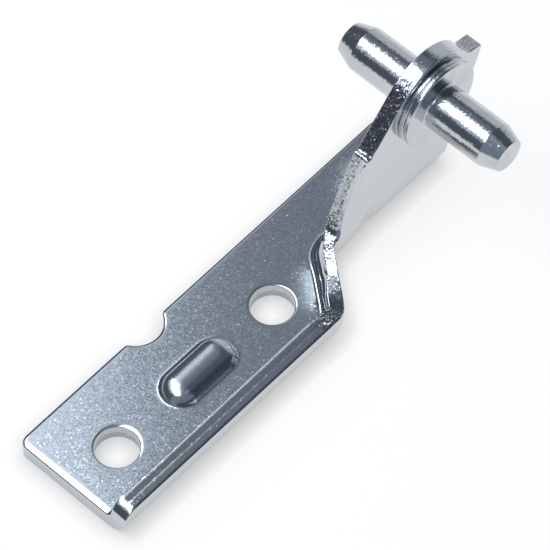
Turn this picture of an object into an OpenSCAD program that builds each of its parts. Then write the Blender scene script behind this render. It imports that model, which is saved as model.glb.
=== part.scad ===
// Refrigerator middle hinge: a bracket pressed from one sheet of steel, with a
// turned double-ended pin fixed in its upright tab. X runs along the plate, Y across
// it and Z up. The origin is midway between the screw holes, on the plate's underside.

/* [Sheet] */
// Thickness of the steel sheet
sheet_t = 2.8; // [2:0.1:3.4]
// Inner radius of the fold between plate and flange
fold_r = 0.8; // [0.5:0.1:1.6]

/* [Plate] */
// Distance between the two screw holes
hole_pitch = 32; // [28:0.5:40]
// Diameter of each screw hole
hole_d = 6.6; // [5:0.1:7.4]
// Width of the bevel round the top of each screw hole
hole_bevel = 0.4; // [0.1:0.05:0.8]
// From the near screw hole to the near end of the plate
near_margin = 8.8; // [6:0.1:14]
// From the far screw hole to the far end of the plate
far_margin = 36.7; // [33:0.1:42]
// From the line of the holes to the plain long edge
edge_margin = 10.7; // [10:0.1:14]
// Radius of the two corners on the plain long edge
corner_r = 1.4; // [0.5:0.1:3]

/* [Notch and rib] */
// Radius of the notch in the plain long edge
notch_r = 3.9; // [2.5:0.1:5]
// Depth of the notch
notch_depth = 2.4; // [1:0.1:3]
// Radius of the notch's two rounded shoulders
notch_shoulder_r = 1; // [0.4:0.1:2]
// Middle of the notch, past the middle of the holes
notch_x = 0.8; // [-3:0.1:3]
// Length of the pressed rib between the holes
rib_len = 13.4; // [9:0.1:16]
// Width of the rib
rib_w = 6.6; // [4:0.1:8]
// Height of the rib above the plate
rib_h = 1.8; // [0.8:0.1:2.2]
// Width of the hollow under the rib
rib_hollow_w = 5; // [2.6:0.1:5.6]
// Middle of the rib, past the middle of the holes
rib_x = 0.6; // [-2:0.1:2]

/* [Flange] */
// From the line of the holes to the outer face of the lip
lip_offset = 9.8; // [9:0.1:13]
// Height of the lip's top above the plate's underside
lip_h = 5.5; // [4.8:0.1:8]
// From the far hole to the corner where the flange turns in
jog_x = 4.9; // [2:0.1:8]
// Angle of the turned-in stretch to the lip
jog_angle = 52; // [40:1:60]
// Radius of the fold line round the first turn
turn_in_r = 0.3; // [0.2:0.1:1.5]
// Radius of the outer face round the second turn
turn_out_r = 2.5; // [1.5:0.1:3.5]
// From the line of the holes to the outer face of the tab
tab_offset = 0.6; // [-0.5:0.1:2]

/* [Tab] */
// From the far hole to the pin's axis
pin_reach = 32.8; // [29:0.1:36]
// Height of the pin's axis above the plate's underside
pin_z = 20; // [17:0.1:24]
// Radius of the tab's round head
head_r = 8.3; // [8.1:0.1:9.5]
// From the far hole to the foot of the tab's rising edge
rise_reach = 12.8; // [11.5:0.1:15]
// Slope of the rising edge above its foot
rise_angle = 63; // [55:1:70]
// Height of the small shoulder on the rising edge
shoulder_z = 18.5; // [15:0.1:20]
// Width of that shoulder
shoulder_w = 0.7; // [0.3:0.1:1.5]
// Radius in the inner corner at the foot of the rising edge
rise_foot_r = 3; // [1:0.1:4]
// Lean of the tab's far edge from upright
end_lean = 20; // [10:1:25]
// Height of the stop lug's outer corner
lug_z = 22.5; // [21:0.1:25]
// Slope of the stop lug's top edge
lug_slope = 13; // [5:1:20]

/* [Pin] */
// Diameter of the two journals that the doors turn on
journal_d = 7.2; // [6:0.1:8]
// Diameter of the pin's ends
tip_d = 5.2; // [3:0.1:5.6]
// Length of each tapered end
taper_len = 2.9; // [1.5:0.1:4]
// From the tab's outer face to the near end of the pin
near_len = 14.5; // [12:0.1:18]
// From the tab's inner face to the far end of the pin
far_len = 12.9; // [10:0.1:17]
// Diameter of the collar that seats on the tab
collar_d = 14.4; // [12.6:0.1:16]
// Thickness of the collar
collar_t = 1.7; // [1.2:0.1:3]
// Width of the groove turned round the middle of the collar
groove_w = 0.3; // [0.1:0.05:0.6]
// Depth of that groove
groove_depth = 0.3; // [0.1:0.05:0.6]
// Width of the bevel between the collar and the near journal
neck_bevel = 0.6; // [0.2:0.1:1]
// Diameter of the pin's seat in the tab
seat_d = 8.4; // [8.2:0.1:10]
// Radial gap between the seat and its hole
seat_gap = 0.02; // [0:0.01:0.05]

/* [Hidden] */
$fn = 96;

// A cut's run past the face it opens
cut_over = 1;
// Flat leg that each stretch of flange shares with the plate
leg = 2.6;

near_x = -hole_pitch / 2 - near_margin;
far_x = hole_pitch / 2 + far_margin;
pin_x = hole_pitch / 2 + pin_reach;

// The fold starts this far in from the flange's outer face.
fold_w = sheet_t + fold_r;
tall_z = pin_z + head_r + cut_over;

// The outer face turns at two corners, drawn here before they are rounded.
turn_half = tan(jog_angle / 2);
corner_1 = [hole_pitch / 2 + jog_x, -lip_offset];
jog_rise = lip_offset - tab_offset;
corner_2 = corner_1 + [jog_rise / tan(jog_angle), jog_rise];

turn_1_r = turn_in_r + fold_w;
turn_1_run = turn_1_r * turn_half;
turn_1_c = corner_1 + [-turn_1_run, turn_1_r];
turn_2_run = turn_out_r * turn_half;
turn_2_c = corner_2 + [turn_2_run, -turn_out_r];

jog_dir = [cos(jog_angle), sin(jog_angle)];
jog_start = corner_1 + turn_1_run * jog_dir;
jog_len = jog_rise / sin(jog_angle) - turn_1_run - turn_2_run;

// The tab's outline in X and Z.
rise_x = hole_pitch / 2 + rise_reach;
shoulder_x = rise_x + (shoulder_z - lip_h) / tan(rise_angle);
slope_start = [shoulder_x + shoulder_w, shoulder_z];
head_c = [pin_x, pin_z];
to_slope = slope_start - head_c;
slope_turn = atan2(to_slope[1], to_slope[0]) - acos(head_r / norm(to_slope));
slope_end = head_c + head_r * [cos(slope_turn), sin(slope_turn)];
lug_x = far_x + (lug_z - fold_w) * tan(end_lean);
lug_root_z = lug_z + (lug_x - pin_x) * tan(lug_slope);

tab_in_y = sheet_t - tab_offset;
near_end_y = -tab_offset - near_len;
far_end_y = tab_in_y + far_len;

// Wedge left between two edges that meet at the origin, along +X and at the given
// angle, once a circle that touches both has been taken away.
module inner_fillet(angle, r) {
  run = r / tan(angle / 2);
  difference() {
    polygon([[0, 0], [run, 0], run * [cos(angle), sin(angle)]]);
    translate([run, r]) circle(r);
  }
}

// Section of the flange: x runs inwards from its outer face, y is height.
module flange_section(height, leg_len) {
  translate([0, fold_w]) square([sheet_t, height - fold_w]);
  translate([fold_w, fold_w]) difference() {
    intersection() {
      circle(fold_w);
      translate([-fold_w, -fold_w]) square(fold_w);
    }
    circle(fold_r);
  }
  translate([fold_w, 0]) square([leg_len, sheet_t]);
}

module flange_run(start, angle, length) {
  translate([start[0], start[1], 0]) rotate([0, 0, angle]) rotate([90, 0, 90])
    linear_extrude(length) flange_section(tall_z, leg);
}

// The flange before it is trimmed: lip, turn, jog, turn back and tab.
module flange_blank() {
  flange_run([near_x, -lip_offset], 0, turn_1_c[0] - near_x);
  translate([turn_1_c[0], turn_1_c[1], 0]) rotate([0, 0, -90])
    rotate_extrude(angle = jog_angle)
      translate([turn_1_r, 0]) mirror([1, 0]) flange_section(tall_z, turn_in_r);
  flange_run(jog_start, jog_angle, jog_len);
  translate([turn_2_c[0], turn_2_c[1], 0]) rotate([0, 0, 90])
    rotate_extrude(angle = jog_angle)
      translate([turn_out_r, 0]) flange_section(tall_z, leg);
  flange_run([turn_2_c[0], -tab_offset], 0, lug_x + cut_over - turn_2_c[0]);
}

// Side outline that the flange is trimmed to, in X and Z.
module flange_outline() {
  translate([near_x - cut_over, -cut_over])
    square([far_x - near_x + cut_over, lip_h + cut_over]);
  polygon([
    [rise_x, 0], [rise_x, lip_h], [shoulder_x, shoulder_z], slope_start, slope_end,
    head_c, [pin_x, 0]
  ]);
  translate([rise_x, lip_h]) rotate(rise_angle) inner_fillet(180 - rise_angle, rise_foot_r);
  translate(head_c) circle(head_r);
  polygon([[pin_x, 0], [far_x, 0], [far_x, fold_w], [lug_x, lug_z], [pin_x, lug_root_z]]);
}

module flange() {
  intersection() {
    flange_blank();
    translate([0, lip_offset + edge_margin, 0]) rotate([90, 0, 0])
      linear_extrude(2 * (lip_offset + edge_margin)) flange_outline();
  }
}

// Waste outside a rounded corner at the origin, for a plate that fills +X and +Y.
module corner_waste(r) {
  difference() {
    translate([-cut_over, -cut_over]) square(r + cut_over);
    translate([r, r]) circle(r);
  }
}

// Notch that opens towards +Y, with its mouth on the X axis.
module notch() {
  mid_y = notch_r - notch_depth;
  round_x = sqrt((notch_r + notch_shoulder_r) ^ 2 - (notch_shoulder_r + mid_y) ^ 2);
  meet = notch_r / (notch_r + notch_shoulder_r);
  meet_x = round_x * meet;
  meet_y = mid_y - (notch_shoulder_r + mid_y) * meet;
  translate([0, mid_y]) circle(notch_r);
  difference() {
    polygon([[-round_x, 0], [-meet_x, meet_y], [meet_x, meet_y], [round_x, 0],
      [round_x, cut_over], [-round_x, cut_over]]);
    for (side = [-1, 1])
      translate([side * round_x, -notch_shoulder_r]) circle(notch_shoulder_r);
  }
}

// Flat of the plate, reaching half way into the flange's legs.
module plate_flat() {
  in_w = fold_w + leg / 2;
  in_step = in_w * [-turn_half, 1];
  linear_extrude(sheet_t) difference() {
    polygon([
      [near_x, -lip_offset + in_w], corner_1 + in_step, corner_2 + in_step,
      [far_x, -tab_offset + in_w], [far_x, edge_margin], [near_x, edge_margin]
    ]);
    translate([near_x, edge_margin]) rotate(-90) corner_waste(corner_r);
    translate([far_x, edge_margin]) rotate(180) corner_waste(corner_r);
    translate([notch_x, edge_margin]) notch();
  }
}

// Long dome with round ends, standing on the plane z = 0.
module dome(length, width, height) {
  r = (width ^ 2 / 4 + height ^ 2) / (2 * height);
  run = length - width;
  intersection() {
    translate([0, 0, height - r]) {
      for (side = [-1, 1])
        translate([side * run / 2, 0, 0]) sphere(r);
      rotate([0, 90, 0]) cylinder(h = run, r = r, center = true);
    }
    translate([-length, -width, -cut_over]) cube([2 * length, 2 * width, height + 2 * cut_over]);
  }
}

module screw_hole() {
  translate([0, 0, -cut_over]) cylinder(h = sheet_t + 2 * cut_over, d = hole_d);
  translate([0, 0, sheet_t - hole_bevel])
    cylinder(h = 2 * hole_bevel, d1 = hole_d, d2 = hole_d + 4 * hole_bevel);
}

module bracket() {
  color([0.66, 0.70, 0.75]) difference() {
    union() {
      plate_flat();
      flange();
      translate([rib_x, 0, sheet_t]) dome(rib_len, rib_w, rib_h);
    }
    translate([rib_x, 0, 0]) dome(rib_len - rib_w + rib_hollow_w, rib_hollow_w, rib_h);
    for (side = [-1, 1])
      translate([side * hole_pitch / 2, 0, 0]) screw_hole();
    translate([pin_x, -tab_offset - cut_over, pin_z]) rotate([-90, 0, 0])
      cylinder(h = sheet_t + 2 * cut_over, r = seat_d / 2 + seat_gap);
  }
}

// Half section of the pin: x is radius, y runs along the pin from near end to far end.
module pin_section() {
  front_y = -tab_offset - collar_t;
  groove_y = -tab_offset - collar_t / 2;
  polygon([
    [0, near_end_y], [tip_d / 2, near_end_y],
    [journal_d / 2, near_end_y + taper_len], [journal_d / 2, front_y - neck_bevel],
    [journal_d / 2 + neck_bevel, front_y], [collar_d / 2, front_y],
    [collar_d / 2, groove_y - groove_w / 2], [collar_d / 2 - groove_depth, groove_y],
    [collar_d / 2, groove_y + groove_w / 2], [collar_d / 2, -tab_offset],
    [seat_d / 2, -tab_offset], [seat_d / 2, tab_in_y], [journal_d / 2, tab_in_y],
    [journal_d / 2, far_end_y - taper_len], [tip_d / 2, far_end_y], [0, far_end_y]
  ]);
}

module hinge_pin() {
  color([0.74, 0.76, 0.80])
    translate([pin_x, 0, pin_z]) rotate([-90, 0, 0]) rotate_extrude() pin_section();
}

bracket();
hinge_pin();
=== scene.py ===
import math

import bpy
import bmesh
import numpy as np
from mathutils import Matrix, Vector
from mathutils.geometry import delaunay_2d_cdt


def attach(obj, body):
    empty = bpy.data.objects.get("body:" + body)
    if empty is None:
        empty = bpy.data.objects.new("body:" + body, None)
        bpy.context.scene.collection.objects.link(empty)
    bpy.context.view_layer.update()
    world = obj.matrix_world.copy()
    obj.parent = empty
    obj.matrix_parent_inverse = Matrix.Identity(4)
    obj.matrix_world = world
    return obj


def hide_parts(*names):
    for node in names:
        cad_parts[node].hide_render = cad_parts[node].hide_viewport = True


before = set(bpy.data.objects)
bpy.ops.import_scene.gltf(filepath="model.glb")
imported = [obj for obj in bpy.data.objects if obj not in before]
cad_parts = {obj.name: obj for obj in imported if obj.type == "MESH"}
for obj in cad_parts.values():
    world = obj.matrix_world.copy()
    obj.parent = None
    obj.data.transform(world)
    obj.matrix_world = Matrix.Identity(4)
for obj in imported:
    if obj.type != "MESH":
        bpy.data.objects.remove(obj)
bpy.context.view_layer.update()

# The view: a long lens looks down on the hinge from its near end, on the lip's side.
MM = 0.001
camera_data = bpy.data.cameras.new("view")
camera_data.sensor_width = 36.0
camera_data.lens = 327.27
camera_data.clip_end = 20.0
camera = bpy.data.objects.new("view", camera_data)
stand = Vector((-262.32, -257.36, 605.18)) * MM
look = Vector((0.3951, 0.3646, -0.8432)).normalized()
side = look.cross(Vector((0, 0, 1))).normalized()
up = side.cross(look)
camera.matrix_world = Matrix.Translation(stand) @ Matrix((side, up, -look)).transposed().to_4x4()
bpy.context.scene.collection.objects.link(camera)
bpy.context.scene.camera = camera

# The bracket is one sheet of steel, punched, folded up along one long edge and bright
# zinc plated. The cuts leave a rolled edge on the punch's side and a burr on the other.
sheet_t = 2.8
fold_r = 0.8
fold_w = sheet_t + fold_r
near_x, far_x, edge_y = -24.8, 52.7, 10.7
lip_y, tab_y, lip_top = -9.8, -0.6, 5.5
jog = math.radians(52)
jog_outer_r, jog_inner_r = 3.9, 2.5
turn_1_r, turn_2_r = jog_outer_r - sheet_t / 2, jog_inner_r + sheet_t / 2
jog_half = math.tan(jog / 2)
jog_corner_x = 20.9
turn_1_x = jog_corner_x - jog_outer_r * jog_half
turn_2_x = jog_corner_x + (tab_y - lip_y) / math.tan(jog) + jog_inner_r * jog_half
lip_len = turn_1_x - near_x
jog_len = (tab_y - lip_y) / math.sin(jog) - (jog_outer_r + jog_inner_r) * jog_half
jog_s = lip_len + turn_1_r * jog
back_s = jog_s + jog_len
tab_s = back_s + turn_2_r * jog
fold_mid_r = fold_r + sheet_t / 2
fold_len = fold_mid_r * math.pi / 2


def flange_line(s):
    """Middle of the flange seen from above, at arc length s from the near end: straight lip,
    an arc that turns in, straight jog, an arc that turns back, straight tab. Returns x, y and
    the heading, which grows along the first arc and falls along the second."""
    a1 = np.clip((s - lip_len) / turn_1_r, 0, jog)
    a2 = np.clip((s - back_s) / turn_2_r, 0, jog)
    run = np.clip(s - jog_s, 0, jog_len)
    x = near_x + np.minimum(s, lip_len) + turn_1_r * np.sin(a1) + run * math.cos(jog)
    x = x + turn_2_r * (math.sin(jog) - np.sin(jog - a2)) + np.maximum(s - tab_s, 0)
    y = lip_y + sheet_t / 2 + turn_1_r * (1 - np.cos(a1)) + run * math.sin(jog)
    y = y + turn_2_r * (np.cos(jog - a2) - math.cos(jog))
    return x, y, a1 - a2


def tab_station(x):
    """Arc length of the flange at a place x on the straight tab."""
    return tab_s + x - turn_2_x


def height_run(z):
    """Distance up the unfolded flange, from the start of the fold, of a height z."""
    return fold_len + z - fold_w


rib_x, rib_rise = 0.6, 1.8
rib_len, rib_w = 13.4, 6.6
hollow_len, hollow_w = 11.8, 5.0
rib_half = (rib_len - rib_w) / 2


def rib_height(x, y, length, width):
    """A dome over a line: with t the distance from the line over half the width, the height falls
    with the square and the fifth power of t, so that its crest is broad and its sides steep. The
    mean of it and its softened size leaves a soft foot, which fades out on the flat."""
    soft, reach, fade = 0.12, 0.8, 0.5
    away = np.hypot(np.maximum(np.abs(x - rib_x) - (length - width) / 2, 0), y)
    t = 2 * away / width
    cap = rib_rise * (1 - 0.4 * t ** 2 - 0.6 * t ** 5)
    foot = np.clip((width / 2 + reach - away) / fade, 0, 1)
    return 0.5 * (cap + np.sqrt(cap ** 2 + soft ** 2)) * foot


jog_start = np.stack(flange_line(jog_s)[:2]) + (fold_w - sheet_t / 2) * np.array(
    (-math.sin(jog), math.cos(jog)))


def jog_swell(run, away):
    """How much the sheet already rises beside the jog's fold: a low swell that grows with the
    square of the nearness, along the jog's own length."""
    rise, reach = 0.2, 3.2
    length = np.clip(run / 2.5 + 0.3, 0, 1) * np.clip((jog_len - run) / 3.0 + 0.3, 0, 1)
    return rise * length * np.clip(1 - np.abs(away) / reach, 0, 1) ** 2


def plate_point(x, y, n):
    """The flat of the plate at depth n under its upper skin, with the rib pressed up in it and
    the swell beside the jog."""
    top = sheet_t + rib_height(x, y, rib_len, rib_w)
    low = rib_height(x, y, hollow_len, hollow_w)
    run = (x - jog_start[0]) * math.cos(jog) + (y - jog_start[1]) * math.sin(jog)
    away = (y - jog_start[1]) * math.cos(jog) - (x - jog_start[0]) * math.sin(jog)
    rise = jog_swell(run, away)
    return np.stack([x, y, top + rise + (low - top) * n / sheet_t], -1)


crease_x, crease_z, crease_slope = 35.3, 5.0, 0.21
swell_out, dent_in, jog_open = 0.42, 0.34, 0.8


def flange_point(s, v, n):
    """The folded flange: arc length s along it, v up it from the start of the fold, depth n
    under its inner skin. A quarter circle leads from the plate, then it stands upright. The
    outer skin keeps a low swell beside the jog, which ends in a crease and a dent across the
    tab, and the inner skin leans open where the jog runs up to the tab."""
    x, y, turn = flange_line(s)
    r = fold_r + n
    phi = np.clip(v / fold_mid_r, 0, math.pi / 2)
    z = fold_w - r * np.cos(phi) + np.maximum(v - fold_len, 0) + jog_swell(s - jog_s, v)
    place = s - tab_s + turn_2_x
    crease = crease_x + crease_slope * (z - crease_z)
    outer = np.clip((11.5 - z) / 6.0, 0, 1) * np.sin(phi) * n / sheet_t
    swell = swell_out * np.clip((place - 25.5) / 4.0, 0, 1) * np.clip((crease - place) / 5.5, 0, 1)
    dent = dent_in * np.exp(-((place - crease - 1.2) / 1.5) ** 2) * np.clip((7.5 - z) / 5.0, 0, 1)
    run = np.clip((s - jog_s - 2.0) / 3.0, 0, 1) * np.clip((tab_s + 1.0 - s) / 2.5, 0, 1)
    opened = jog_open * run * np.clip((z - 2.9) / 2.6, 0, 1) ** 1.5 * (1 - n / sheet_t)
    inward = fold_w - r * np.sin(phi) - sheet_t / 2 - (swell - dent) * outer - opened
    return np.stack([x - np.sin(turn) * inward, y + np.cos(turn) * inward, z], -1)


def arc_points(cx, cy, r, start, end, step):
    """Points on a circle from one angle to another, in degrees."""
    count = max(int(abs(math.radians(end - start)) * r / step), 3) + 1
    a = np.radians(np.linspace(start, end, count))
    return np.stack([cx + r * np.cos(a), cy + r * np.sin(a)], -1)


def even_steps(line, step):
    """The same line with its points at equal distances."""
    run = np.concatenate([[0], np.cumsum(np.linalg.norm(np.diff(line, axis=0), axis=1))])
    keep = np.concatenate([[True], np.diff(run) > 1e-9])
    t = np.linspace(0, run[-1], max(int(run[-1] / step), 2) + 1)
    return np.stack([np.interp(t, run[keep], line[keep, k]) for k in (0, 1)], -1)


def rounded_line(corners, step):
    """An open line through corners (x, y, radius): each inner corner becomes an arc that
    touches both of its sides, and the whole is walked in equal steps."""
    straight, fine = 1.56, 0.05
    pts = np.array([c[:2] for c in corners], float)
    out = [pts[:1]]
    for k in range(1, len(pts) - 1):
        back, on = pts[k - 1] - pts[k], pts[k + 1] - pts[k]
        back, on = back / np.linalg.norm(back), on / np.linalg.norm(on)
        half = math.acos(np.clip(back @ on, -1, 1)) / 2
        r = corners[k][2]
        if r <= 0 or half > straight:
            out.append(pts[k:k + 1])
            continue
        mid = (back + on) / np.linalg.norm(back + on)
        centre = pts[k] + mid * r / math.sin(half)
        a0 = math.atan2(*(pts[k] + back * r / math.tan(half) - centre)[::-1])
        a1 = math.atan2(*(pts[k] + on * r / math.tan(half) - centre)[::-1])
        turn = (a1 - a0 + math.pi) % (2 * math.pi) - math.pi
        out.append(arc_points(*centre, r, math.degrees(a0), math.degrees(a0 + turn), fine))
    out.append(pts[-1:])
    return even_steps(np.concatenate(out), step)


# The outline: the plate's edge with its notch, then the flange's edge over tab, lug and lip.
rim_step = 0.28
plate_corner_r = 1.4
notch_x, notch_r, notch_round, notch_lift = 0.8, 3.9, 1.0, 1.5
notch_drop = notch_lift + notch_round
notch_run = math.sqrt((notch_r + notch_round) ** 2 - notch_drop ** 2)
notch_turn = math.degrees(math.atan2(notch_drop, notch_run))
notch_in = arc_points(notch_x - notch_run, edge_y - notch_round, notch_round, 90, notch_turn, 0.1)
notch_arc = arc_points(notch_x, edge_y + notch_lift, notch_r, 180 + notch_turn, 360 - notch_turn, 0.2)
notch_out = arc_points(notch_x + notch_run, edge_y - notch_round, notch_round, 180 - notch_turn, 90, 0.1)
plate_edge = rounded_line(
    [(near_x, lip_y + fold_w, 0), (near_x, edge_y, plate_corner_r)]
    + [(*p, 0) for p in np.concatenate([notch_in, notch_arc[1:-1], notch_out])]
    + [(far_x, edge_y, plate_corner_r), (far_x, tab_y + fold_w, 0)], rim_step)

pin_x, pin_z, head_r = 48.8, 20.0, 8.3
head_start, head_end = 22.8, 137.3
lug_x, lug_z = 59.58, 22.5
lug_root_x, lug_root_z = 56.45, 23.22
shoulder_x, shoulder_z, shoulder_len = 35.42, 18.5, 0.7
foot_x = 28.8
lip_corner_r = 2.6
head_arc = arc_points(pin_x, pin_z, head_r, head_start, head_end, 0.3)
tab_edge = np.array(
    [(far_x, fold_w), (lug_x, lug_z), (lug_root_x, lug_root_z)] + head_arc[1:].tolist()
    + [(shoulder_x + shoulder_len, shoulder_z), (shoulder_x, shoulder_z), (foot_x, lip_top)])
tab_radii = np.zeros(len(tab_edge))
tab_radii[:3] = 4.0, 0.55, 0.6
tab_radii[-3:] = 0.3, 0.3, 3.0
flange_edge = rounded_line(
    [(tab_station(far_x), 0, 0)]
    + [(tab_station(x), -height_run(z), r) for (x, z), r in zip(tab_edge, tab_radii)]
    + [(0, -height_run(lip_top), lip_corner_r), (0, 0, 0)], rim_step)


def inward_of(line):
    """Unit normals to the right of a line's run, and how tightly it turns that way."""
    ahead = np.concatenate([line[1:], 2 * line[-1:] - line[-2:-1]])
    behind = np.concatenate([2 * line[:1] - line[1:2], line[:-1]])
    t = ahead - behind
    t = t / np.linalg.norm(t, axis=1, keepdims=True)
    step_a, step_b = line - behind, ahead - line
    turn = -(step_a[:, 0] * step_b[:, 1] - step_a[:, 1] * step_b[:, 0])
    turn = turn / (np.linalg.norm(step_a, axis=1) * np.linalg.norm(step_b, axis=1))
    return np.stack([t[:, 1], -t[:, 0]], -1), np.arcsin(np.clip(turn, -1, 1)) / rim_step


def smooth_run(values, width):
    """A running mean along a line, with its ends held."""
    pad = np.pad(values, width, mode="edge")
    return np.convolve(pad, np.ones(2 * width + 1) / (2 * width + 1), "valid")


wide_room = 9.0


def room_by_turn(turn):
    """How wide a roll may be before it folds over: a little less than the radius of the tightest
    outward turn nearby, at most 2 mm, and eased."""
    slight, share, near, most = 0.02, 0.85, 6, 2.0
    room = np.where(turn > slight, share / np.maximum(turn, slight), wide_room)
    pad = np.pad(room, near, mode="edge")
    tightest = np.min([pad[k:k + len(room)] for k in range(2 * near + 1)], axis=0)
    return smooth_run(np.minimum(tightest, most), 4)


def cut_profile(roll_top, dish, corner, roll_low, lean, stepped, rough):
    """Section of a sheared edge for each place along it, as distance in from the outline and
    depth: a parabola that dishes the upper skin, an arc on from its slope to the upright, a
    smooth then a torn wall that may lean, and a quarter circle on to the lower skin. Dish is the
    parabola's depth over its width. A stepped wall has a bevel, a smooth band and a lower torn
    band, with a line between them. Whole arrays: places by section points."""
    q = np.radians(np.linspace(0, 90, 6))
    w = np.linspace(0, 1, 18)[1:-1]
    p = np.linspace(0, 1, 7)[:-1]
    step_n = (0.0, 0.40, 0.55, 1.45, 1.60, 2.50, 2.80)
    step_d = (0.055, 0.0, 0.0, 0.075, 0.055, 0.10, 0.22)
    run = rim_step * np.arange(len(roll_top))
    a, b, corner = roll_top[:, None], roll_low[:, None], corner[:, None]
    slope = np.arctan(2 * dish)[:, None]
    turn = slope + (math.pi / 2 - slope) * np.linspace(0, 1, 6)
    low_side = a * dish[:, None]
    depth_top, depth_low = low_side + corner * np.cos(slope), sheet_t - b
    wall_n = depth_top + (depth_low - depth_top) * w
    n = np.concatenate([low_side * p ** 2, depth_top - corner * np.cos(turn), wall_n,
                        depth_low + b * np.sin(q)], 1)
    wall_d = np.zeros_like(wall_n)
    ragged = np.clip((w - 0.35) / 0.3, 0, 1)
    for k, (pitch, push) in enumerate(((1.9, 1.0), (0.83, 0.7), (0.47, 0.5))):
        phase = 2.1 * k + 3.0 * np.sin(run / (7.3 + 2.2 * k))
        wave = np.sin(2 * math.pi * run / pitch + phase)[:, None]
        wall_d = wall_d + push * ragged * wave * np.cos((k + 1) * 2.0 * w + phase[:, None])
    d = np.concatenate([a * (1 - p) + corner * (1 - np.sin(slope)), corner * (1 - np.sin(turn)),
                        rough[:, None] * wall_d, b * (1 - np.cos(q))], 1)
    on_wall = np.concatenate([0 * p, np.linspace(0, 1, 6), np.ones_like(w),
                              np.clip((0.7 - q) / 0.6, 0, 1)])
    d = d + lean[:, None] * n / sheet_t + stepped[:, None] * np.interp(n, step_n, step_d)
    return d, n, np.broadcast_to(on_wall, n.shape)


def inside(points, loops):
    """Even-odd test of points against closed loops, by counting the sides above each point."""
    a = np.concatenate(loops)
    b = np.concatenate([np.roll(l, -1, 0) for l in loops])
    hit = np.zeros(len(points), int)
    for part in np.array_split(np.arange(len(points)), max(len(points) // 4000, 1)):
        px, py = points[part, 0:1], points[part, 1:2]
        span = (a[None, :, 0] > px) != (b[None, :, 0] > px)
        rise = np.where(a[:, 0] == b[:, 0], 1.0, b[:, 0] - a[:, 0])
        height = a[None, :, 1] + (px - a[None, :, 0]) * ((b[:, 1] - a[:, 1]) / rise)[None]
        hit[part] = (span & (height > py)).sum(1)
    return hit % 2 == 1


def skin(loops, grid, gap):
    """Triangles between closed loops of edge points, over a grid of inner points that keep
    clear of the loops. Returns the flat points and the triangles."""
    edge = np.concatenate(loops)
    grid = grid[inside(grid, loops)]
    far = np.ones(len(grid), bool)
    for part in np.array_split(np.arange(len(grid)), max(len(grid) // 2000, 1)):
        away = np.hypot(grid[part, 0:1] - edge[None, :, 0], grid[part, 1:2] - edge[None, :, 1])
        far[part] = away.min(1) > gap
    points = np.concatenate([edge, grid[far]])
    start = np.cumsum([0] + [len(l) for l in loops])
    sides = [(int(s + k), int(s + (k + 1) % len(l)))
             for s, l in zip(start, loops) for k in range(len(l))]
    flat, _, tris, _, _, _ = delaunay_2d_cdt([Vector(p) for p in points], sides, [], 0, 1e-7)
    flat = np.array([tuple(p) for p in flat])
    tris = np.array(tris)
    return flat, tris[inside(flat[tris].mean(1), loops)]


def grid_over(low, high, step):
    """A plain grid of points over a rectangle."""
    axes = [np.arange(a + s / 2, b, s) for a, b, s in zip(low, high, step)]
    return np.stack(np.meshgrid(*axes, indexing="ij"), -1).reshape(-1, 2)


def ring_points(middle, half, radii, step):
    """Points on rings that each keep one distance from a line along x."""
    rings = []
    for r in radii:
        loop = np.concatenate([arc_points(middle + half, 0, r, -90, 90, step),
                               arc_points(middle - half, 0, r, 90, 270, step)])
        rings.append(even_steps(np.concatenate([loop, loop[:1]]), step)[:-1])
    return np.concatenate(rings)


def band_faces(rows, cols):
    """Four-sided faces of a grid of points that closes round its first way."""
    i = np.arange(rows)[:, None]
    j = np.arange(cols - 1)[None, :]
    nxt = (i + 1) % rows
    return np.stack([i * cols + j, i * cols + j + 1, nxt * cols + j + 1, nxt * cols + j],
                    -1).reshape(-1, 4)


def closed_piece(name, patches, sharp):
    """One mesh from patches (points in mm, faces, marks for cut, torn cut with painted shade, and
    grain): points that coincide become one, faces turn outwards, and corners over the angle stay crisp."""
    weld = 2e-3
    co = np.concatenate([p[0].reshape(-1, 3) for p in patches])
    marks = np.concatenate([np.reshape(p[2], (-1, 3)) for p in patches])
    _, first, same = np.unique(np.round(co / weld).astype(np.int64), axis=0, return_index=True,
                               return_inverse=True)
    same = same.reshape(-1)
    offset = np.cumsum([0] + [p[0].size // 3 for p in patches])
    faces = []
    for p, o in zip(patches, offset):
        f = same[p[1] + o]
        good = np.all(f != np.roll(f, 1, 1), axis=1)
        faces += f[good].tolist()
    mesh = bpy.data.meshes.new(name)
    mesh.from_pydata((co[first] * MM).tolist(), [], faces)
    for k, mark in enumerate(("cut", "torn", "grain")):
        layer = mesh.attributes.new(mark, "FLOAT", "POINT")
        layer.data.foreach_set("value", marks[first, k].astype(np.float32))
    work = bmesh.new()
    work.from_mesh(mesh)
    bmesh.ops.recalc_face_normals(work, faces=work.faces)
    work.to_mesh(mesh)
    work.free()
    mesh.shade_smooth()
    mesh.set_sharp_from_angle(angle=math.radians(sharp))
    piece = bpy.data.objects.new(name, mesh)
    bpy.context.scene.collection.objects.link(piece)
    return piece


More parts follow.
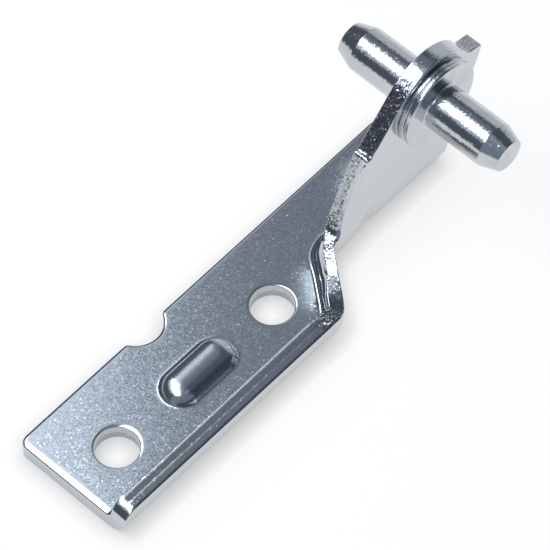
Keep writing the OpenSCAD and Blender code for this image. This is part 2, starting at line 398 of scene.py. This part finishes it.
# Rolls, burrs and leans along the outline. The rising edge of the tab was cut from the other
# side, so its roll is on the outer skin and its torn half on the inner.
edge_in_p, _ = inward_of(plate_edge)
edge_in_f, edge_turn_f = inward_of(flange_edge)
flange_s = flange_edge[:, 0]
flange_x = flange_s - tab_s + turn_2_x
flange_z = fold_w - flange_edge[:, 1] - fold_len
rising = ((flange_z > lip_top + 0.5) & (flange_z < shoulder_z - 0.1)
          & (flange_x < shoulder_x + 0.2))
sloping = (flange_x > shoulder_x - 0.3) & (flange_x < 45) & (flange_z > shoulder_z - 0.6)
level = np.abs(flange_z - lip_top) < 0.3
on_lip = level & (flange_s > 0.8) & (flange_s < lip_len - 0.6)
on_jog = level & (flange_s > lip_len + 0.4) & (flange_x < 29.5)
shaded_corner = level & (flange_s > lip_len - 2.2) & (flange_s < lip_len + 0.6)
on_lug = (flange_x > 56.2) & (flange_z > 20)
on_head = (flange_x > 42) & (flange_z > 19)
end_p = np.clip((near_x + 1.2 - plate_edge[:, 0]) / 0.8, 0, 1)
end_f = np.clip(1 + flange_edge[:, 1] / 2.2, 0, 1) * (flange_s < 0.3)


def along(plate, flange, width):
    """One run of values round the whole outline, the plate's edge then the flange's, each eased
    over a few steps."""
    plate, flange = plate + 0 * end_p, flange + 0 * end_f
    return np.concatenate([smooth_run(plate, width)[:-1], smooth_run(flange, width)[:-1]])


def by_zone(lip, jog, rise, rest):
    """A value for each place on the flange's edge, by the zone that it lies in."""
    return np.select([on_lip, on_jog, rising], [lip, jog, rise], rest)


room_top = np.concatenate([np.full(len(plate_edge) - 1, wide_room), room_by_turn(edge_turn_f)[:-1]])
roll_top = along(0.4 + 0.5 * end_p, by_zone(0.03, 1.0, 0.15, 0.25 + 0.85 * end_f), 4)
roll_top = np.minimum(roll_top, 0.55 * room_top)
roll_low = along(0.12, by_zone(0.15, 0.2, 1.0, 0.15), 9)
roll_low = np.minimum(roll_low, room_top)
corner = along(0.06 + 0.24 * end_p, by_zone(0.06, 0.3, 0.12, 0.16 + 0.14 * end_f), 4)
corner = np.minimum(corner, 0.45 * room_top)
dish = along(0.27 - 0.14 * end_p, by_zone(0.25, 0.5, 0.25, 0.25 - 0.12 * end_f), 4)
jog_lean = np.interp(flange_s - lip_len, (0, 1, 2.7, 3.6, 7.2, 8.6),
                     (0, 0.5, 0.5, -0.2, -0.3, -0.6))
lean = along(0.0, by_zone(0.0, jog_lean, 0.0, 0.0), 2)
stepped = along(0.0, by_zone(1.0, 0.0, 0.0, 0.0), 4)
head_torn = np.select([on_lug, on_head], [0.4, 0.14], 0.04)
# The torn mark darkens torn cuts and is also painted shade: it is raised on the tab's rising edge and
# made full at the lip's corner with the jog, to paint dark reflections there.
edge_torn_and_shade = np.where(sloping | shaded_corner, 1.0, by_zone(0.1, 0.5, 0.6, head_torn))
torn = along(0.7 - 0.7 * end_p, edge_torn_and_shade, 4)
on_rise = along(0.0, 1.0 * rising, 1) > 0.5
on_flange = np.arange(len(roll_top)) >= len(plate_edge) - 1
edge_flat = np.concatenate([plate_edge[:-1], flange_edge[:-1]])
edge_in = np.concatenate([edge_in_p[:-1], edge_in_f[:-1]])
edge_in[0] = (1, 0)
edge_in[len(plate_edge) - 1] = (-1, 0)
cut_d, cut_n, cut_wall = cut_profile(roll_top, dish, corner, roll_low, lean, stepped,
                                     0.004 + 0.03 * torn)


def sheet_points(flat, n, folded):
    """Points of the sheet from its flat pattern: the plate as it lies, the flange folded up."""
    plate = plate_point(flat[..., 0], flat[..., 1], n)
    flange = flange_point(flat[..., 0], -flat[..., 1], n)
    return np.where(folded[..., None], flange, plate)


cut_flat = edge_flat[:, None] + edge_in[:, None] * cut_d[..., None]
folded = np.broadcast_to(on_flange[:, None], cut_n.shape)
torn_side = np.where(on_rise[:, None], np.clip((1.9 - cut_n) / 0.5, 0.1, 1), 1.0)
rim_marks = np.stack([cut_wall, cut_wall * torn[:, None] * torn_side, 0 * cut_n], -1)
patches = [(sheet_points(cut_flat, cut_n, folded), band_faces(*cut_n.shape), rim_marks)]

# Two screw holes in the plate and the pin's hole in the tab, each with its own roll, which is
# wider on the side towards the tab.
hole_x, hole_r, pin_hole_r, hole_step = 16.0, 3.3, 4.22, 0.2
hole_dish, hole_corner, hole_burr, hole_rough = 0.1, 0.18, 0.1, 0.01
hole_rims = {}
for name, x, y, r, roll, wide, tall in (
        ("near", -hole_x, 0, hole_r, 0.12, 0.42, False),
        ("far", hole_x, 0, hole_r, 0.16, 0.2, False),
        ("pin", tab_station(pin_x), -height_run(pin_z), pin_hole_r, 0.2, 0.0, True)):
    count = int(2 * math.pi * r / hole_step)
    a = -2 * math.pi * np.arange(count) / count
    out = np.stack([np.cos(a), np.sin(a)], -1)
    ones = np.ones(count)
    rolls = roll + wide * np.clip(out[:, 0], 0, 1)
    d, n, wall = cut_profile(rolls, hole_dish * ones, hole_corner * ones, hole_burr * ones,
                             0 * ones, 0 * ones, hole_rough * ones)
    flat = np.array([x, y]) + out[:, None] * (r + d)[..., None]
    hole_rims[name] = flat
    marks = np.stack([wall, 0.5 * wall * (n > 1.5), 0 * wall], -1)
    patches.append((sheet_points(flat, n, np.full(n.shape, tall)), band_faces(*n.shape), marks))

# The upper and lower skins, in two charts that share the line where the fold starts. Rings of
# points follow the rib, so that its foot is smooth.
fold_step, plate_step, flange_step = 0.3, (0.6, 0.6), (0.36, 0.27)
ring_gap, ring_reach, rib_clear = 0.14, 4.3, 4.4
plate_part = np.nonzero(~on_flange)[0]
flange_part = np.nonzero(on_flange)[0]
inset = fold_w - sheet_t / 2
rib_rings = ring_points(rib_x, rib_half, np.arange(ring_gap, ring_reach, ring_gap), rim_step)
for k, n in ((0, 0.0), (-1, sheet_t)):
    ring = cut_flat[:, k]
    s0, s1 = ring[0, 0] - near_x, ring[len(plate_edge) - 1, 0]
    s = np.linspace(s0, s1, int((s1 - s0) / fold_step))
    fx, fy, way = flange_line(s)
    line = np.stack([fx - np.sin(way) * inset, fy + np.cos(way) * inset], -1)
    outer = np.concatenate([ring[plate_part], line[::-1][:-1]])
    grid = grid_over((near_x, lip_y), (far_x, edge_y), plate_step)
    from_rib = np.hypot(np.maximum(np.abs(grid[:, 0] - rib_x) - rib_half, 0), grid[:, 1])
    grid = np.concatenate([grid[from_rib > rib_clear], rib_rings])
    flat, tris = skin([outer, hole_rims["near"][:, k], hole_rims["far"][:, k]], grid, 0.2)
    grain_marks = np.zeros((len(flat), 3))
    smoothed = 3 * rib_height(flat[:, 0], flat[:, 1], rib_len, rib_w)
    grain_marks[:, 2] = (n == 0) * np.clip(1 - smoothed, 0.15, 1)
    patches.append((plate_point(flat[:, 0], flat[:, 1], n), tris, grain_marks))
    fold = np.stack([s, np.zeros_like(s)], -1)
    outer = np.concatenate([ring[flange_part], fold[:-1]])
    grid = grid_over((0, -height_run(30)), (tab_station(lug_x), 0), flange_step)
    flat, tris = skin([outer, hole_rims["pin"][:, k]], grid, 0.16)
    patches.append((flange_point(flat[:, 0], -flat[:, 1], np.full(len(flat), n)), tris,
                    np.zeros((len(flat), 3))))

bracket = closed_piece("pressed_bracket", patches, 40)


def node(tree, kind, **sockets):
    """A shader node with its inputs set by name."""
    made = tree.nodes.new(kind)
    for key, value in sockets.items():
        if hasattr(made, key):
            setattr(made, key, value)
        else:
            made.inputs[key.replace("_", " ")].default_value = value
    return made


def ramp(tree, source, stops):
    """A colour ramp read by a value, with its stops as place and colour."""
    made = tree.nodes.new("ShaderNodeValToRGB")
    while len(made.color_ramp.elements) < len(stops):
        made.color_ramp.elements.new(0.5)
    for element, (place, colour) in zip(made.color_ramp.elements, stops):
        element.position = place
        element.color = (*colour, 1)
    tree.links.new(source, made.inputs["Fac"])
    return made


def maths(tree, operation, *values):
    """The result of one sum on values that are numbers or come from other nodes."""
    made = node(tree, "ShaderNodeMath", operation=operation)
    for socket, value in zip(made.inputs, values):
        if isinstance(value, (int, float)):
            socket.default_value = value
        else:
            tree.links.new(value, socket)
    return made.outputs[0]


def facets(tree, place, scale, tilt, strays):
    """The surface's normal with each small grain of the plating turned its own way: a random
    vector per grain, centred on nothing, times the tilt, added to the normal. One grain in
    sixteen strays further, up to so many times the tilt."""
    grain = node(tree, "ShaderNodeTexVoronoi", Scale=scale)
    tree.links.new(place, grain.inputs["Vector"])
    centred = node(tree, "ShaderNodeVectorMath", operation="SUBTRACT")
    tree.links.new(grain.outputs["Color"], centred.inputs[0])
    centred.inputs[1].default_value = (0.5, 0.5, 0.5)
    channel = node(tree, "ShaderNodeSeparateXYZ")
    tree.links.new(grain.outputs["Color"], channel.inputs[0])
    stray = node(tree, "ShaderNodeMapRange", From_Min=0.0, From_Max=0.06, To_Min=strays, To_Max=1.0)
    tree.links.new(channel.outputs["X"], stray.inputs["Value"])
    turned = node(tree, "ShaderNodeVectorMath", operation="SCALE")
    tree.links.new(centred.outputs["Vector"], turned.inputs[0])
    tree.links.new(maths(tree, "MULTIPLY", stray.outputs["Result"], tilt), turned.inputs["Scale"])
    added = node(tree, "ShaderNodeVectorMath", operation="ADD")
    tree.links.new(turned.outputs["Vector"], added.inputs[0])
    tree.links.new(node(tree, "ShaderNodeNewGeometry").outputs["Normal"], added.inputs[1])
    unit = node(tree, "ShaderNodeVectorMath", operation="NORMALIZE")
    tree.links.new(added.outputs["Vector"], unit.inputs[0])
    return unit.outputs["Vector"]


# Bright zinc on the sheet: grainy on the flat of the plate, smoother where the sheet was worked, darker
# and rougher where the cut tore. The torn mark's dark colour is also painted shade on the tab's rising
# edge and the lip's corner with the jog, where it paints dark reflections.
zinc_sheet = bpy.data.materials.new("bright_zinc_sheet")
zinc_sheet.use_nodes = True
tree = zinc_sheet.node_tree
link = tree.links.new
shader = tree.nodes["Principled BSDF"]
shader.inputs["Metallic"].default_value = 1.0
place = node(tree, "ShaderNodeTexCoord").outputs["Object"]
cut_mark = node(tree, "ShaderNodeAttribute", attribute_name="cut").outputs["Fac"]
torn_and_shade_mark = node(tree, "ShaderNodeAttribute", attribute_name="torn").outputs["Fac"]
grain_mark = node(tree, "ShaderNodeAttribute", attribute_name="grain").outputs["Fac"]
fleck = node(tree, "ShaderNodeTexNoise", Scale=3000.0, Detail=2.0)
grit = node(tree, "ShaderNodeTexNoise", Scale=5200.0, Detail=1.0)
for texture in (fleck, grit):
    link(place, texture.inputs["Vector"])
grit_colour = ramp(tree, grit.outputs["Fac"], ((0.34, (0.50, 0.535, 0.585)),
                                               (0.5, (0.59, 0.625, 0.672)),
                                               (0.66, (0.73, 0.755, 0.79))))
# The dark torn colour. On the rising edge and the lip's corner it is painted shade, standing in for dark
# reflections.
torn_and_shade_colour = ramp(tree, fleck.outputs["Fac"], ((0.45, (0.26, 0.27, 0.30)),
                                                (0.58, (0.36, 0.38, 0.41)),
                                                (0.68, (0.70, 0.74, 0.75))))
plating = node(tree, "ShaderNodeMix", data_type="RGBA")
link(grain_mark, plating.inputs["Factor"])
plating.inputs[6].default_value = (0.56, 0.585, 0.615, 1)
link(grit_colour.outputs["Color"], plating.inputs[7])
colour = node(tree, "ShaderNodeMix", data_type="RGBA")
link(torn_and_shade_mark, colour.inputs["Factor"])
link(plating.outputs[2], colour.inputs[6])
link(torn_and_shade_colour.outputs["Color"], colour.inputs[7])
link(colour.outputs[2], shader.inputs["Base Color"])
face_rough = ramp(tree, grain_mark, ((0.0, (0.1,) * 3), (0.14, (0.17,) * 3), (1.0, (0.15,) * 3)))
rough = node(tree, "ShaderNodeMix", data_type="RGBA")
link(cut_mark, rough.inputs["Factor"])
link(face_rough.outputs["Color"], rough.inputs[6])
rough.inputs[7].default_value = (0.13, 0.13, 0.13, 1)
link(rough.outputs[2], shader.inputs["Roughness"])
grain_tilt = maths(tree, "MULTIPLY_ADD", grain_mark, 0.030, 0.006)
tilt = maths(tree, "MULTIPLY_ADD", torn_and_shade_mark, 0.32, grain_tilt)
link(facets(tree, place, 5600.0, tilt, 3.5), shader.inputs["Normal"])
bracket.data.materials.append(zinc_sheet)
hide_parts("bracket")
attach(bracket, "root")

# The pin is turned from one bar with a grooved collar, zinc plated, and seated in the tab's
# hole from the lip's side. Each end tapers so that a door's bush finds it.
journal_r, end_r, end_y, taper_y = 3.6, 2.6, 15.1, 12.2
collar_r, collar_front, collar_back = 7.2, -2.3, -0.6
groove_r, groove_y, groove_half = 6.9, -1.45, 0.15
seat_r, seat_end = 4.2, 2.2
end_soft, edge_soft, groove_soft = 0.16, 0.25, 0.06
pin_rows = [(0.0, -end_y, 0), (end_r, -end_y, end_soft),
            (journal_r, -taper_y, edge_soft), (journal_r, collar_front, edge_soft),
            (collar_r, collar_front, edge_soft), (collar_r, groove_y - groove_half, groove_soft),
            (groove_r, groove_y, groove_soft), (collar_r, groove_y + groove_half, groove_soft),
            (collar_r, collar_back, 0.2), (seat_r, collar_back, 0.05),
            (seat_r, seat_end, edge_soft), (journal_r, seat_end, 0.1),
            (journal_r, taper_y, edge_soft), (end_r, end_y, end_soft), (0.0, end_y, 0)]
section = rounded_line(pin_rows, 0.09)
turns = 144
angle = 2 * math.pi * np.arange(turns) / turns
pin_points = np.stack(np.broadcast_arrays(
    pin_x + section[None, :, 0] * np.cos(angle)[:, None], section[None, :, 1],
    pin_z + section[None, :, 0] * np.sin(angle)[:, None]), -1)
pin_patch = (pin_points, band_faces(turns, len(section)), np.zeros(pin_points.shape))
pin = closed_piece("turned_pin", [pin_patch], 35)

zinc_pin = bpy.data.materials.new("bright_zinc_pin")
zinc_pin.use_nodes = True
tree = zinc_pin.node_tree
link = tree.links.new
shader = tree.nodes["Principled BSDF"]
shader.inputs["Metallic"].default_value = 1.0
place = node(tree, "ShaderNodeTexCoord").outputs["Object"]
cloud = node(tree, "ShaderNodeTexNoise", Scale=300.0, Detail=2.0)
link(place, cloud.inputs["Vector"])
tint = ramp(tree, cloud.outputs["Fac"], ((0.3, (0.50, 0.525, 0.55)), (0.7, (0.57, 0.595, 0.62))))
link(tint.outputs["Color"], shader.inputs["Base Color"])
shader.inputs["Roughness"].default_value = 0.15
link(facets(tree, place, 6000.0, 0.08, 4.0), shader.inputs["Normal"])
pin.data.materials.append(zinc_pin)
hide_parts("hinge_pin")
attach(pin, "root")

# The floor is plain and white to the camera and to the metal that mirrors it. It keeps the
# hinge's shadow: the lamps' own, and a shade where little of the sky is open.
floor_half = 6.0
floor_corners = [(-floor_half, -floor_half, 0), (floor_half, -floor_half, 0),
                 (floor_half, floor_half, 0), (-floor_half, floor_half, 0)]
floor_mesh = bpy.data.meshes.new("floor")
floor_mesh.from_pydata(floor_corners, [], [(0, 1, 2, 3)])
floor = bpy.data.objects.new("floor", floor_mesh)
bpy.context.scene.collection.objects.link(floor)
floor_paint = bpy.data.materials.new("pale_floor")
floor_paint.use_nodes = True
tree = floor_paint.node_tree
link = tree.links.new
shader = tree.nodes["Principled BSDF"]
shader.inputs["Roughness"].default_value = 0.9
shader.inputs["Specular IOR Level"].default_value = 0.0
shader.inputs["Base Color"].default_value = (0.13, 0.13, 0.13, 1)
shader.inputs["Emission Color"].default_value = (1, 1, 1, 1)
path = node(tree, "ShaderNodeLightPath").outputs
mirrored = maths(tree, "MAXIMUM", path["Is Glossy Ray"], path["Is Transmission Ray"])
seen = maths(tree, "MAXIMUM", path["Is Camera Ray"], mirrored)
glow = maths(tree, "MULTIPLY", seen, 0.90)
for reach, depth in ((0.0032, 0.5), (0.012, 0.12)):
    sky = node(tree, "ShaderNodeAmbientOcclusion", Distance=reach).outputs["AO"]
    glow = maths(tree, "MULTIPLY", glow, maths(tree, "MULTIPLY_ADD", sky, depth, 1 - depth))
link(glow, shader.inputs["Emission Strength"])
floor_mesh.materials.append(floor_paint)

# The lamps are soft panels in one row overhead, bright on the left and fading to the right. Each
# has its left, right, near and far side, seen along the view and in metres, and its radiance.
lamp_z = 0.30
lamp_tint = (0.84, 0.92, 1.0)
heading = math.atan2(look.y, look.x)
for name, left, right, near, far, radiance in (
        ("key_strip", -0.165, -0.090, -0.17, 0.23, 8.0),
        ("left_wing", -0.300, -0.165, -0.11, 0.30, 0.6),
        ("key_side", -0.090, -0.030, -0.17, 0.14, 3.0),
        ("fill_panel", -0.090, -0.024, 0.14, 0.39, 0.9),
        ("fade_1", -0.024, -0.014, -0.11, 0.39, 0.36),
        ("fade_2", -0.014, -0.003, -0.11, 0.39, 0.22),
        ("fade_3", -0.003, 0.060, -0.11, 0.39, 0.125),
        ("front_panel", 0.050, 0.130, -0.11, 0.00, 0.3)):
    lamp = bpy.data.lights.new(name, "AREA")
    lamp.shape = "RECTANGLE"
    lamp.size, lamp.size_y = right - left, far - near
    lamp.energy = radiance * math.pi * lamp.size * lamp.size_y
    lamp.color = lamp_tint
    panel = bpy.data.objects.new(name, lamp)
    panel.rotation_euler = (0, 0, heading - math.pi / 2)
    across, ahead = (left + right) / 2, (near + far) / 2
    panel.location = (across * math.sin(heading) + ahead * math.cos(heading),
                      -across * math.cos(heading) + ahead * math.sin(heading), lamp_z)
    bpy.context.scene.collection.objects.link(panel)

# The room is dim, with a pale wall beyond the tab and a paler side near the camera.
room_colour, wall_colour = (0.10, 0.118, 0.147), (0.66, 0.69, 0.73)
world = bpy.data.worlds.new("room")
bpy.context.scene.world = world
world.use_nodes = True
tree = world.node_tree
link = tree.links.new
background = tree.nodes["Background"]
outlook = node(tree, "ShaderNodeTexCoord").outputs["Generated"]


def facing(direction):
    """How nearly the outlook points a given way, as the cosine of the angle between them."""
    made = node(tree, "ShaderNodeVectorMath", operation="DOT_PRODUCT")
    link(outlook, made.inputs[0])
    made.inputs[1].default_value = Vector(direction).normalized()
    return made.outputs["Value"]


def eased(value, start, end, low, high):
    """An eased step from one level to another between two values."""
    made = node(tree, "ShaderNodeMapRange", interpolation_type="SMOOTHSTEP", From_Min=start,
                From_Max=end, To_Min=low, To_Max=high)
    link(value, made.inputs["Value"])
    return made.outputs["Result"]


room = ramp(tree, facing((0.93, 0.25, 0.15)),
            ((0.0, room_colour), (0.80, room_colour), (0.9, wall_colour)))
link(room.outputs["Color"], background.inputs["Color"])
lip_side = eased(facing((0, 1, 0)), -0.6, -0.2, 0.5, 1.0)
near_side = eased(facing((-0.62, -0.74, 0.27)), 0.5, 0.68, 0.0, 1.5)
link(maths(tree, "ADD", lip_side, near_side), background.inputs["Strength"])

scene = bpy.context.scene
scene.view_settings.view_transform = "Standard"
